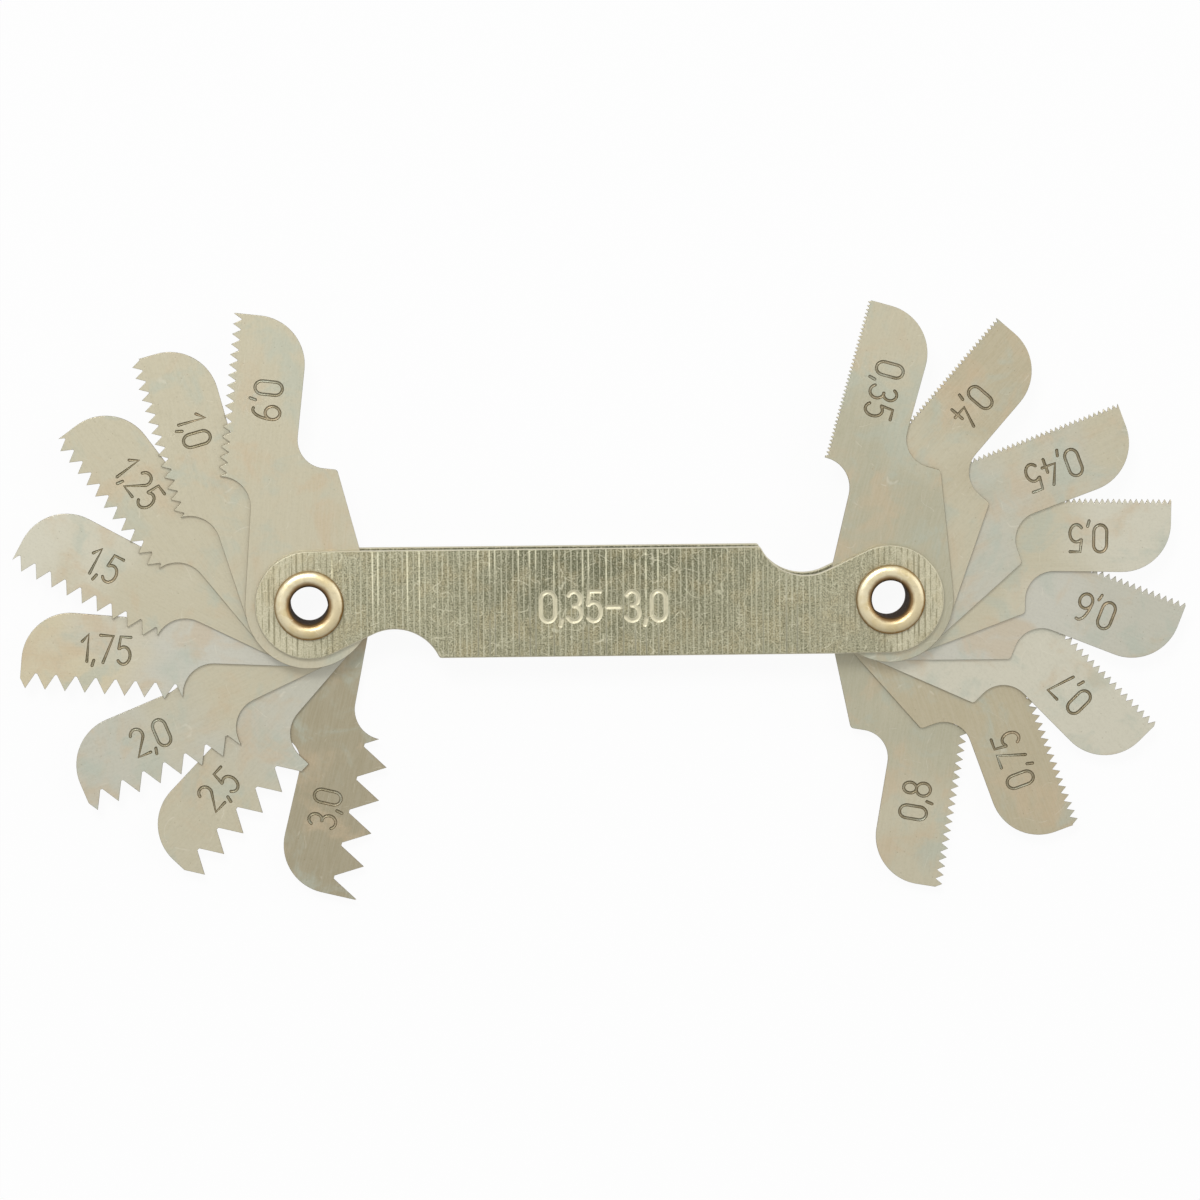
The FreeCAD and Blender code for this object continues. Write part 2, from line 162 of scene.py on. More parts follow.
class Wiring:
    """Adds nodes to a tree and joins them: a socket is linked, any other value is set."""

    def __init__(self, tree):
        self.tree = tree

    def node(self, kind, inputs=None, **settings):
        node = self.tree.nodes.new(kind)
        for name, value in settings.items():
            setattr(node, name, value)
        for key, value in (inputs or {}).items():
            self.feed(node.inputs[key], value)
        return node

    def feed(self, socket, value):
        if isinstance(value, bpy.types.NodeSocket):
            self.tree.links.new(value, socket)
        elif value is not None:
            socket.default_value = value

    def math(self, operation, *values):
        node = self.node("ShaderNodeMath", operation=operation)
        for socket, value in zip(node.inputs, values):
            self.feed(socket, value)
        return node.outputs[0]

    def plus(self, first, second):
        return self.math("ADD", first, second)

    def minus(self, first, second):
        return self.math("SUBTRACT", first, second)

    def times(self, first, second):
        return self.math("MULTIPLY", first, second)

    def over(self, first, second):
        return self.math("DIVIDE", first, second)

    def unsigned(self, value):
        return self.math("ABSOLUTE", value)

    def ramp(self, value, low, high, start=0.0, end=1.0, smooth=True):
        """The value spread from low..high to start..end."""
        kind = "SMOOTHSTEP" if smooth else "LINEAR"
        node = self.node("ShaderNodeMapRange", interpolation_type=kind)
        for key, given in (("Value", value), ("From Min", low), ("From Max", high),
                           ("To Min", start), ("To Max", end)):
            self.feed(node.inputs[key], given)
        return node.outputs[0]

    def split(self, vector):
        return self.node("ShaderNodeSeparateXYZ", {0: vector}).outputs

    def joined(self, x, y, z):
        return self.node("ShaderNodeCombineXYZ", {0: x, 1: y, 2: z}).outputs[0]

    def stretched(self, vector, factors):
        node = self.node("ShaderNodeVectorMath", {0: vector, 1: factors}, operation="MULTIPLY")
        return node.outputs[0]

    def moved(self, vector, step):
        node = self.node("ShaderNodeVectorMath", {0: vector, 1: step}, operation="ADD")
        return node.outputs[0]

    def blend(self, factor, first, second):
        node = self.node("ShaderNodeMix", data_type="RGBA", blend_type="MIX")
        for number, value in ((0, factor), (6, first), (7, second)):
            self.feed(node.inputs[number], value)
        return node.outputs[2]

    def noise(self, vector, scale, detail=2.0, roughness=0.5, distortion=0.0):
        node = self.node("ShaderNodeTexNoise", {
            "Vector": vector, "Scale": scale, "Detail": detail, "Roughness": roughness,
            "Distortion": distortion})
        return node.outputs[0]

    def random(self, low, high, seed):
        """A value between low and high that differs from point to point."""
        node = self.node("FunctionNodeRandomValue", {2: low, 3: high, "Seed": seed},
                         data_type="FLOAT")
        return node.outputs[1]

    def group(self, tree, **inputs):
        node = self.node("ShaderNodeGroup", node_tree=tree)
        for key, value in inputs.items():
            self.feed(node.inputs[key.replace("_", " ")], value)
        return node.outputs

    def bump(self, height, strength, distance):
        node = self.node("ShaderNodeBump", {
            "Height": height, "Strength": strength, "Distance": distance})
        return node.outputs[0]

    def upright(self):
        """The upward share of the face's own direction: 1 or -1 on a level face, 0 on an edge."""
        facing = self.node("ShaderNodeNewGeometry").outputs["True Normal"]
        return self.split(facing)[2]

    def seen(self):
        """1 for rays that show a thing, straight or mirrored, and 0 for rays that light it."""
        rays = self.node("ShaderNodeLightPath").outputs
        mirrored = self.math("MAXIMUM", rays["Is Glossy Ray"], rays["Is Transmission Ray"])
        return self.math("MAXIMUM", rays["Is Camera Ray"], mirrored)


def new_group(name, kind, inputs, outputs):
    """An empty node group with named sockets, and its wiring, inputs and outputs."""
    tree = bpy.data.node_groups.new(name, kind)
    for direction, sockets in (("INPUT", inputs), ("OUTPUT", outputs)):
        for label, (socket_type, *default) in sockets.items():
            socket = tree.interface.new_socket(label, in_out=direction, socket_type=socket_type)
            if default:
                socket.default_value = default[0]
    wiring = Wiring(tree)
    start = wiring.node("NodeGroupInput").outputs
    end = wiring.node("NodeGroupOutput").inputs
    return tree, wiring, start, end


def hairline_group():
    """Curved scratches, thin as a hair and broken off here and there, as a mask."""
    tree, on, given, result = new_group("hairlines", "ShaderNodeTree", {
        "Place": ("NodeSocketVector",),
        "Size": ("NodeSocketFloat", 3.0),
        "Thinness": ("NodeSocketFloat", 0.01),
        "Share": ("NodeSocketFloat", 0.5),
        "Offset": ("NodeSocketFloat", 0.0),
    }, {
        "Mask": ("NodeSocketFloat",),
    })
    shift = on.joined(given["Offset"], given["Offset"], given["Offset"])
    place = on.moved(given["Place"], shift)
    field = on.noise(place, on.over(1.0, given["Size"]), detail=1.0, roughness=0.4)
    near = on.unsigned(on.minus(field, 0.5))
    line = on.ramp(near, 0.0, given["Thinness"], start=1.0, end=0.0)
    gaps = on.noise(on.moved(place, (13.0, 29.0, 7.0)), 0.8)
    first_kept = on.minus(0.68, on.times(given["Share"], 0.36))
    kept = on.ramp(gaps, first_kept, on.plus(first_kept, 0.06))
    on.feed(result["Mask"], on.times(line, kept))
    return tree


HAIRLINES = hairline_group()


def new_material(name, centre=(0.0, 0.0, 0.0), turn=0.0):
    """A material, its wiring, its Principled BSDF, and places in millimetres from the centre,
    turned back by the piece's own turn."""
    material = bpy.data.materials.new(name)
    material.use_nodes = True
    on = Wiring(material.node_tree)
    shader = material.node_tree.nodes["Principled BSDF"]
    here = on.node("ShaderNodeTexCoord").outputs["Object"]
    back = Matrix.Rotation(-turn, 3, "Z") @ -Vector(centre)
    place = on.node("ShaderNodeMapping", {
        "Vector": here, "Scale": (1 / MM,) * 3, "Rotation": (0.0, 0.0, -turn), "Location": back})
    return material, on, shader, place.outputs[0]


HOLDER_LOW, HOLDER_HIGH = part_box("front_cover")
MIDDLE = (HOLDER_LOW + HOLDER_HIGH) / 2 / MM
HALF_LENGTH = (HOLDER_HIGH.x - HOLDER_LOW.x) / 2 / MM

# Painted shade for the top of the plate's dull middle.
COVER_SHADED = srgb(112, 112, 88)
COVER_DULL = srgb(148, 145, 118)
COVER_PLAIN = srgb(152, 149, 122)
COVER_WORN = srgb(193, 187, 160)
COVER_YELLOWED = srgb(176, 160, 120)
COVER_MARK_PALE = srgb(200, 195, 168)
COVER_MARK_DARK = srgb(100, 98, 74)
COVER_SPECK_DARK = srgb(78, 76, 54)
COVER_SPECK_PALE = srgb(206, 202, 176)
COVER_SCRATCH = srgb(212, 207, 180)
COVER_LINE_BRIGHT = srgb(196, 193, 168)
COVER_LINE_DIRT = srgb(118, 112, 84)
# Painted highlight for the plates' rounded rims.
COVER_RIM_HIGHLIGHT = srgb(212, 206, 182)
COVER_STAMPED = srgb(204, 198, 170)
# Size, share and offset of each layer of scratches.
COVER_SCRATCHES = ((2.2, 0.6, 0.0), (3.4, 0.5, 50.0), (1.6, 0.45, 90.0), (2.8, 0.5, 130.0))


def ground_cover_group():
    """Coarsely ground, yellowed plated steel, worn pale at the ends and duller in the middle, where
    painted shade darkens it towards the top. It puts out the face's colour, the colour in a ground
    line, the grain and the height."""
    tree, on, given, result = new_group("ground_cover", "ShaderNodeTree", {
        "Place": ("NodeSocketVector",),
        "Half Length": ("NodeSocketFloat", 30.0),
    }, {
        "Face": ("NodeSocketColor",),
        "Line": ("NodeSocketColor",),
        "Grain": ("NodeSocketFloat",),
        "Height": ("NodeSocketFloat",),
    })
    place = given["Place"]
    x, y = on.split(place)[:2]
    slow = on.noise(place, 0.16, detail=3.0, roughness=0.55, distortion=0.5)
    patch = on.times(on.minus(slow, 0.5), 16.0)
    out = on.over(on.plus(on.unsigned(x), patch), given["Half Length"])
    # Painted shade: the dull middle of the plate is painted darker towards the top.
    dull_and_shaded = on.blend(on.ramp(on.plus(y, patch), -4.0, 3.5), COVER_DULL, COVER_SHADED)
    middle = on.blend(on.ramp(out, 0.15, 0.62), dull_and_shaded, COVER_PLAIN)
    worn = on.ramp(out, 0.62, 0.98)
    face = on.blend(worn, middle, COVER_WORN)
    warm = on.noise(on.moved(place, (40.0, 3.0, 8.0)), 0.5, detail=3.0, roughness=0.6)
    cast = on.ramp(warm, 0.45, 0.65)
    face = on.blend(on.times(cast, 0.3), face, COVER_YELLOWED)
    # The wheel's finer marks run across the plate, and years in a pocket mottled the rest.
    marks = on.noise(on.stretched(place, (1.0, 0.08, 1.0)), 3.4, detail=3.0, roughness=0.7)
    face = on.blend(on.ramp(marks, 0.52, 0.7, end=0.45), face, COVER_MARK_PALE)
    face = on.blend(on.ramp(marks, 0.48, 0.3, end=0.42), face, COVER_MARK_DARK)
    mottle = on.noise(place, 7.0, detail=3.0, roughness=0.7)
    strength = on.ramp(worn, 0.0, 1.0, start=1.0, end=0.4)
    dark = on.times(on.ramp(mottle, 0.52, 0.36), on.times(strength, 0.7))
    light = on.times(on.ramp(mottle, 0.52, 0.68), on.times(strength, 0.55))
    face = on.blend(dark, face, COVER_SPECK_DARK)
    face = on.blend(light, face, COVER_SPECK_PALE)
    height = on.times(mottle, 0.6)
    for size, share, offset in COVER_SCRATCHES:
        hair = on.group(HAIRLINES, Place=place, Size=size, Thinness=0.008, Share=share,
                        Offset=offset)["Mask"]
        face = on.blend(on.times(hair, 0.5), face, COVER_SCRATCH)
        height = on.minus(height, on.times(hair, 0.5))
    # A ground line holds dirt in broken stretches at the ends, and is worn bright in the middle.
    breaks = on.noise(on.stretched(place, (1.9, 1.0, 1.0)), 0.9, detail=4.0, roughness=0.7)
    held = on.ramp(breaks, 0.36, 0.56)
    dirty = on.times(held, on.ramp(worn, 0.0, 0.5, end=0.65))
    bright = on.times(on.ramp(breaks, 0.3, 0.5), on.ramp(worn, 0.0, 0.5, start=0.5, end=0.0))
    line = on.blend(bright, face, COVER_LINE_BRIGHT)
    line = on.blend(dirty, line, COVER_LINE_DIRT)
    on.feed(result["Face"], face)
    on.feed(result["Line"], line)
    on.feed(result["Grain"], mottle)
    on.feed(result["Height"], height)
    return tree


GROUND_COVER = ground_cover_group()


def cover_steel(name, surface, polish=None):
    """One of the ground cover's two surfaces, mixed with a polish where a stamp has pressed it."""
    material, on, shader, place = new_material(name, MIDDLE)
    ground = on.group(GROUND_COVER, Place=place, Half_Length=HALF_LENGTH)
    # Painted highlight: the rounded rims between face and edge are painted pale, as if they caught the light.
    rim_highlight = on.ramp(on.unsigned(on.upright()), LEVEL, 0.9, end=0.9)
    colour = on.blend(rim_highlight, ground[surface], COVER_RIM_HIGHLIGHT)
    if polish:
        rubbed = on.noise(place, 1.3, detail=3.0, roughness=0.6)
        colour = on.blend(on.ramp(rubbed, 0.3, 0.6, start=0.65, end=0.95), colour, polish)
    roughness = on.ramp(ground["Grain"], 0.3, 0.7, start=0.36, end=0.54, smooth=False)
    on.feed(shader.inputs["Base Color"], colour)
    on.feed(shader.inputs["Roughness"], roughness)
    shader.inputs["Metallic"].default_value = 0.7
    on.feed(shader.inputs["Normal"], on.bump(ground["Height"], 0.5, 0.00002))
    return material


COVER_FACE_STEEL = cover_steel("cover_face_steel", "Face")
COVER_LINE_STEEL = cover_steel("cover_line_steel", "Line")

SCORE_SPACING = 0.51


def score_line_cutters():
    """Geometry Nodes: a row of long wedges, each cutting one grinding line across a cover."""
    tree, on, given, result = new_group("score_lines", "GeometryNodeTree", {
        "Geometry": ("NodeSocketGeometry",),
        "Lines": ("NodeSocketInt", 10),
        "Spacing": ("NodeSocketFloat", SCORE_SPACING),
        "Line Width": ("NodeSocketFloat", 0.12),
        "Line Depth": ("NodeSocketFloat", 0.02),
        "Line Length": ("NodeSocketFloat", 12.0),
        "Stray": ("NodeSocketFloat", 0.05),
        "Seed": ("NodeSocketInt", 3),
        "Steel": ("NodeSocketMaterial",),
    }, {
        "Geometry": ("NodeSocketGeometry",),
    })
    step = on.joined(given["Spacing"], 0.0, 0.0)
    row = on.node("GeometryNodeMeshLine", {"Count": given["Lines"], "Offset": step},
                  mode="OFFSET").outputs[0]
    stray = on.random(on.times(given["Stray"], -1.0), given["Stray"], given["Seed"])
    first = on.times(given["Spacing"], on.times(given["Lines"], -0.5))
    shift = on.joined(on.plus(first, stray), 0.0, 0.0)
    row = on.node("GeometryNodeSetPosition", {"Geometry": row, "Offset": shift}).outputs[0]
    # A bar turned on its corner, drawn out to the line's width, length and depth.
    bar = on.node("GeometryNodeMeshCube", {"Size": (1.0, 1.0, 1.0)}).outputs[0]
    on_corner = (0.0, math.radians(45), 0.0)
    bar = on.node("GeometryNodeTransform", {"Geometry": bar, "Rotation": on_corner}).outputs[0]
    half_diagonal = math.sqrt(0.5)
    section = on.joined(on.over(given["Line Width"], 2 * half_diagonal), given["Line Length"],
                        on.over(given["Line Depth"], half_diagonal))
    wedge = on.node("GeometryNodeTransform", {"Geometry": bar, "Scale": section}).outputs[0]
    uneven = on.random(0.55, 1.25, on.plus(given["Seed"], 1.0))
    lean = on.random(-0.004, 0.004, on.plus(given["Seed"], 2.0))
    lines = on.node("GeometryNodeInstanceOnPoints", {
        "Points": row, "Instance": wedge, "Rotation": on.joined(0.0, 0.0, lean),
        "Scale": on.joined(uneven, 1.0, uneven)}).outputs[0]
    solid = on.node("GeometryNodeRealizeInstances", {"Geometry": lines}).outputs[0]
    painted = on.node("GeometryNodeSetMaterial", {"Geometry": solid, "Material": given["Steel"]})
    on.feed(result["Geometry"], painted.outputs[0])
    return tree


SCORE_LINES = score_line_cutters()


def grown(tree, name, mesh=None, **inputs):
    """A piece made by a Geometry Nodes tree, as a plain mesh."""
    piece = add_piece(name, mesh or bpy.data.meshes.new(name))
    step = piece.modifiers.new("grow", "NODES")
    step.node_group = tree
    sockets = {}
    for item in tree.interface.items_tree:
        if item.in_out == "INPUT":
            sockets[item.name] = item.identifier
    for key, value in inputs.items():
        step[sockets[key.replace("_", " ")]] = value
    work_in(piece)
    return piece


def scored_cover(node, face_z, seed):
    """A cover with its grinding lines cut across the outer face."""
    piece = blank(node, PLATE_EDGE_ROUND, steps=4)
    piece.data.materials.append(COVER_FACE_STEEL)
    cutter = grown(SCORE_LINES, "lines", Lines=int(2 * HALF_LENGTH / SCORE_SPACING),
                   Spacing=SCORE_SPACING, Line_Width=0.15, Line_Depth=0.009, Line_Length=14.0,
                   Stray=0.06, Seed=seed, Steel=COVER_LINE_STEEL)
    cutter.data.transform(Matrix.Translation((MIDDLE.x, 0.0, face_z)))
    cut(piece, cutter)
    return piece


rear_cover = scored_cover("rear_cover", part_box("rear_cover")[0].z / MM, seed=5)
finish_piece(rear_cover, "rear_cover_scored", "rear_cover", "holder")
front_cover = scored_cover("front_cover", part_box("front_cover")[1].z / MM, seed=8)

# ---------------------------------------------------------------------------------------------
# Figures
# The maker punches each figure with a rounded stamp, which leaves a groove of even width. A
# figure is a few strokes; here each stroke is a line of points on a body one unit high.

ARC_STEP = 15


def arc(x, y, radius_x, radius_y, start, end):
    """Points of a round stretch, from one angle to the other in degrees."""
    count = max(2, round(abs(end - start) / ARC_STEP))
    points = []
    for number in range(count + 1):
        angle = math.radians(start + (end - start) * number / count)
        points.append((x + radius_x * math.cos(angle), y + radius_y * math.sin(angle)))
    return points


FIGURES = {
    "0": [arc(0.24, 0.74, 0.24, 0.26, 180, 0) + arc(0.24, 0.26, 0.24, 0.26, 0, -180)
          + [(0.0, 0.74)]],
    "1": [[(0.04, 0.72), (0.26, 1.0)],
          [(0.26, 1.0), (0.26, 0.0)]],
    "2": [arc(0.24, 0.75, 0.23, 0.25, 165, -28) + [(0.0, 0.0)],
          [(0.0, 0.0), (0.48, 0.0)]],
    "3": [arc(0.23, 0.755, 0.21, 0.245, 150, -90),
          arc(0.23, 0.26, 0.24, 0.26, 90, -150)],
    "4": [[(0.3, 1.0), (0.0, 0.28)],
          [(0.0, 0.28), (0.5, 0.28)],
          [(0.36, 0.5), (0.36, 0.0)]],
    "5": [[(0.45, 1.0), (0.08, 1.0)],
          [(0.08, 1.0), (0.04, 0.56)],
          arc(0.23, 0.32, 0.24, 0.32, 130, -140)],
    "6": [arc(0.24, 0.27, 0.24, 0.27, 180, -180),
          arc(0.3, 0.27, 0.3, 0.73, 180, 78)],
    "7": [[(0.0, 1.0), (0.48, 1.0)],
          [(0.48, 1.0), (0.16, 0.0)]],
    "8": [arc(0.24, 0.76, 0.2, 0.24, 90, -270),
          arc(0.24, 0.26, 0.24, 0.26, 90, -270)],
    "9": [arc(0.24, 0.73, 0.24, 0.27, 0, 360),
          arc(0.18, 0.73, 0.3, 0.73, 0, -102)],
    ",": [[(0.05, 0.06), (0.0, -0.14)]],
    "-": [[(0.02, 0.47), (0.44, 0.47)]],
}
FIGURE_WIDTH = 0.48
NARROW_WIDTHS = {"1": 0.28, ",": 0.05, "-": 0.46}
FIGURE_GAP = 0.18


def stroke_lines(name, text, height):
    """The text's strokes as a mesh of edges, centred on the origin."""
    work = bmesh.new()
    across = 0.0
    for figure in text:
        for stroke in FIGURES[figure]:
            corners = []
            for x, y in stroke:
                corners.append(work.verts.new(((across + x) * height, (y - 0.5) * height, 0.0)))
            for start, end in zip(corners, corners[1:]):
                work.edges.new((start, end))
        across += NARROW_WIDTHS.get(figure, FIGURE_WIDTH) + FIGURE_GAP
    length = (across - FIGURE_GAP) * height
    bmesh.ops.remove_doubles(work, verts=work.verts, dist=1e-5)
    bmesh.ops.translate(work, verts=work.verts, vec=(-length / 2, 0.0, 0.0))
    mesh = bpy.data.meshes.new(name)
    work.to_mesh(mesh)
    work.free()
    return mesh


def stamp_strokes():
    """Geometry Nodes: a round bar along each stroke with a ball at each end, raised so that only
    its belly dips below the face."""
    tree, on, given, result = new_group("stamp_strokes", "GeometryNodeTree", {
        "Geometry": ("NodeSocketGeometry",),
        "Bar Radius": ("NodeSocketFloat", 0.18),
        "Raised": ("NodeSocketFloat", 0.1),
        "Sides": ("NodeSocketInt", 16),
        "Steel": ("NodeSocketMaterial",),
    }, {
        "Geometry": ("NodeSocketGeometry",),
    })
    strokes = on.node("GeometryNodeMeshToCurve", {0: given["Geometry"]}).outputs[0]
    lift = on.joined(0.0, 0.0, given["Raised"])
    strokes = on.node("GeometryNodeSetPosition", {"Geometry": strokes, "Offset": lift}).outputs[0]
    section = on.node("GeometryNodeCurvePrimitiveCircle", {
        "Resolution": given["Sides"], "Radius": given["Bar Radius"]}).outputs[0]
    bars = on.node("GeometryNodeCurveToMesh", {
        "Curve": strokes, "Profile Curve": section, "Fill Caps": True}).outputs[0]
    ends = on.node("GeometryNodeCurveEndpointSelection").outputs[0]
    ball = on.node("GeometryNodeMeshUVSphere", {
        "Segments": given["Sides"], "Rings": 10, "Radius": given["Bar Radius"]}).outputs[0]
    balls = on.node("GeometryNodeInstanceOnPoints", {
        "Points": strokes, "Selection": ends, "Instance": ball}).outputs[0]
    both = on.node("GeometryNodeJoinGeometry")
    on.feed(both.inputs[0], bars)
    on.feed(both.inputs[0], balls)
    solid = on.node("GeometryNodeRealizeInstances", {"Geometry": both.outputs[0]}).outputs[0]
    painted = on.node("GeometryNodeSetMaterial", {"Geometry": solid, "Material": given["Steel"]})
    on.feed(result["Geometry"], painted.outputs[0])
    return tree


STAMP_STROKES = stamp_strokes()


def stamp(piece, text, place, height, stroke_width, depth, steel):
    """Stamps the text into the piece. place carries it from the origin to the face."""
    half = stroke_width / 2
    radius = (half * half + depth * depth) / (2 * depth)
    cutter = grown(STAMP_STROKES, "strokes", stroke_lines("strokes", text, height),
                   Bar_Radius=radius, Raised=radius - depth, Steel=steel)
    cutter.data.transform(place)
    cut(piece, cutter)


COVER_FIGURE_STEEL = cover_steel("cover_figure_steel", "Face", COVER_STAMPED)
COVER_FIGURES = "0,35-3,0"
COVER_FIGURES_RIGHT = 0.3
COVER_FIGURES_UP = -0.35

place = Matrix.Translation((MIDDLE.x + COVER_FIGURES_RIGHT, COVER_FIGURES_UP,
                            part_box("front_cover")[1].z / MM))
stamp(front_cover, COVER_FIGURES, place, height=2.6, stroke_width=0.42, depth=0.07,
      steel=COVER_FIGURE_STEEL)
finish_piece(front_cover, "front_cover_scored", "front_cover", "holder")

# ---------------------------------------------------------------------------------------------
# Leaves
# Sixteen blanks of 0.4 mm spring steel, eight on each rivet. The thread form is ground into the
# long edge, the faces are polished to a satin, and the pitch is stamped beside the teeth.

LEAF_EDGE_ROUND = 0.04
LEAF_FIGURE_REACH = 17.5
LEAF_FIGURE_ACROSS = 5.4
BACK_EDGE_LEAN = math.radians(21.5)

STRAW = srgb(187, 180, 156)
GREY = srgb(185, 183, 168)
PALE = srgb(198, 194, 176)
OLIVE = srgb(172, 168, 145)
BROWN = srgb(158, 149, 124)
SAND = srgb(178, 168, 141)
MILK = srgb(190, 188, 175)
BUFF = srgb(196, 186, 158)

# Each leaf's figures, and the cast of its steel beside the rivet and at the tip. The casts are
# partly the steel's own tone and partly painted sheen and shade for the way each leaf, turned its
# own way, catches the light.
LEAVES = {
    "leaf_0_90": ("0,9", STRAW, STRAW),
    "leaf_1_00": ("1,0", STRAW, STRAW),
    "leaf_1_25": ("1,25", STRAW, STRAW),
    "leaf_1_50": ("1,5", STRAW, PALE),
    "leaf_1_75": ("1,75", MILK, BUFF),
    "leaf_2_00": ("2,0", STRAW, GREY),
    "leaf_2_50": ("2,5", GREY, STRAW),
    "leaf_3_00": ("3,0", BROWN, BROWN),
    "leaf_0_35": ("0,35", OLIVE, STRAW),
    "leaf_0_40": ("0,4", STRAW, SAND),
    "leaf_0_45": ("0,45", GREY, STRAW),
    "leaf_0_50": ("0,5", STRAW, PALE),
    "leaf_0_60": ("0,6", MILK, GREY),
    "leaf_0_70": ("0,7", PALE, PALE),
    "leaf_0_75": ("0,75", SAND, SAND),
    "leaf_0_80": ("0,8", OLIVE, STRAW),
}

# Painted shade: the stamped figures' steel is darker than the leaves', for the shade in the grooves.
FIGURE_RIVET_SHADE = srgb(132, 124, 98)
FIGURE_TIP_SHADE = srgb(126, 116, 90)
CLOUD_WARM = srgb(190, 170, 140)
CLOUD_COOL = srgb(170, 178, 164)
GRAIN_DARK = srgb(120, 114, 90)
GRAIN_DRAWN = srgb(214, 210, 194)
PIT_RUST = srgb(118, 104, 78)
LEAF_SCRATCH = srgb(218, 213, 196)
# Brown for the cut edges: partly oil, partly painted shade.
EDGE_SHADE_AND_OIL = srgb(112, 90, 56)
# Size, share and offset of each layer of scratches.
LEAF_SCRATCHES = ((5.0, 0.35, 0.0), (8.0, 0.4, 60.0))


def pit_group():
    """Small round pits, scattered thinly, as a mask."""
    tree, on, given, result = new_group("pits", "ShaderNodeTree", {
        "Place": ("NodeSocketVector",),
        "Spacing": ("NodeSocketFloat", 2.0),
        "Radius": ("NodeSocketFloat", 0.06),
        "Share": ("NodeSocketFloat", 0.4),
    }, {
        "Mask": ("NodeSocketFloat",),
    })
    cells = on.node("ShaderNodeTexVoronoi", {
        "Vector": given["Place"], "Scale": on.over(1.0, given["Spacing"])},
        voronoi_dimensions="2D").outputs
    away = on.times(cells["Distance"], given["Spacing"])
    pit = on.ramp(away, on.times(given["Radius"], 0.4), given["Radius"], start=1.0, end=0.0)
    chance = on.split(cells["Color"])[0]
    on.feed(result["Mask"], on.times(pit, on.math("LESS_THAN", chance, given["Share"])))
    return tree


PITS = pit_group()


def satin_group():
    """Satin spring steel: one cast runs slowly into another along the leaf, with faint clouds, a
    fine grain drawn along the blade, and brown on the cut edges, partly oil and partly painted
    shade for the dark lines where the leaves overlap."""
    tree, on, given, result = new_group("satin_steel", "ShaderNodeTree", {
        "Place": ("NodeSocketVector",),
        "Upright": ("NodeSocketFloat", 1.0),
        "Rivet Cast": ("NodeSocketColor",),
        "Tip Cast": ("NodeSocketColor",),
        "Clouds": ("NodeSocketFloat", 0.3),
        "Offset": ("NodeSocketFloat", 0.0),
    }, {
        "Color": ("NodeSocketColor",),
        "Grain": ("NodeSocketFloat",),
        "Height": ("NodeSocketFloat",),
    })
    place = on.moved(given["Place"], on.joined(0.0, 0.0, given["Offset"]))
    x = on.split(given["Place"])[0]
    slow = on.noise(place, 0.13, detail=3.0, roughness=0.5, distortion=0.4)
    along = on.plus(x, on.times(on.minus(slow, 0.5), 26.0))
    colour = on.blend(on.ramp(along, 9.0, 22.0), given["Rivet Cast"], given["Tip Cast"])
    warm = on.noise(on.moved(place, (31.0, 17.0, 5.0)), 0.22, detail=4.0, roughness=0.6,
                    distortion=0.5)
    warm = on.ramp(warm, 0.5, 0.68)
    cool = on.noise(on.moved(place, (7.0, 43.0, 19.0)), 0.26, detail=4.0, roughness=0.6,
                    distortion=0.5)
    cool = on.ramp(cool, 0.5, 0.68)
    colour = on.blend(on.times(warm, given["Clouds"]), colour, CLOUD_WARM)
    colour = on.blend(on.times(cool, given["Clouds"]), colour, CLOUD_COOL)
    grain = on.noise(place, 5.0, detail=4.0, roughness=0.7)
    drawn = on.noise(on.stretched(place, (0.07, 1.0, 1.0)), 7.0, roughness=0.6)
    colour = on.blend(on.ramp(grain, 0.55, 0.3, end=0.1), colour, GRAIN_DARK)
    colour = on.blend(on.ramp(drawn, 0.35, 0.65, end=0.08), colour, GRAIN_DRAWN)
    pits = on.group(PITS, Place=place, Spacing=1.7, Radius=0.07, Share=0.25)["Mask"]
    colour = on.blend(on.times(pits, 0.35), colour, PIT_RUST)
    height = on.plus(on.times(grain, 0.5), on.times(drawn, 0.4))
    height = on.minus(height, pits)
    for size, share, offset in LEAF_SCRATCHES:
        hair = on.group(HAIRLINES, Place=place, Size=size, Thinness=0.004, Share=share,
                        Offset=offset)["Mask"]
        colour = on.blend(on.times(hair, 0.25), colour, LEAF_SCRATCH)
        height = on.minus(height, on.times(hair, 0.4))
    # Painted shade: the cut edges and their rounds are painted brown for the dark lines where leaves overlap,
    # together with oil.
    edge = on.ramp(on.unsigned(given["Upright"]), 0.4, 0.97, start=0.85, end=0.0)
    colour = on.blend(edge, colour, EDGE_SHADE_AND_OIL)
    on.feed(result["Color"], colour)
    on.feed(result["Grain"], grain)
    on.feed(result["Height"], height)
    return tree


SATIN_STEEL = satin_group()


def leaf_steel(name, rivet_cast, tip_cast, number, pivot, turn):
    """Satin steel for the leaf on this pivot. The number sets its own clouds and scratches."""
    material, on, shader, place = new_material(name, pivot, turn)
    satin = on.group(SATIN_STEEL, Place=place, Upright=on.upright(), Rivet_Cast=rivet_cast,
                     Tip_Cast=tip_cast, Clouds=0.5, Offset=11.0 * number)
    roughness = on.ramp(satin["Grain"], 0.3, 0.7, start=0.34, end=0.42, smooth=False)
    on.feed(shader.inputs["Base Color"], satin["Color"])
    on.feed(shader.inputs["Roughness"], roughness)
    shader.inputs["Metallic"].default_value = 0.7
    on.feed(shader.inputs["Normal"], on.bump(satin["Height"], 0.3, 0.00001))
    return material


# The figures' grooves take this darker steel as painted shade.
LEAF_FIGURE_SHADED_STEEL = leaf_steel("leaf_figure_shaded_steel", FIGURE_RIVET_SHADE, FIGURE_TIP_SHADE,
                               number=20, pivot=(0, 0, 0), turn=0.0)


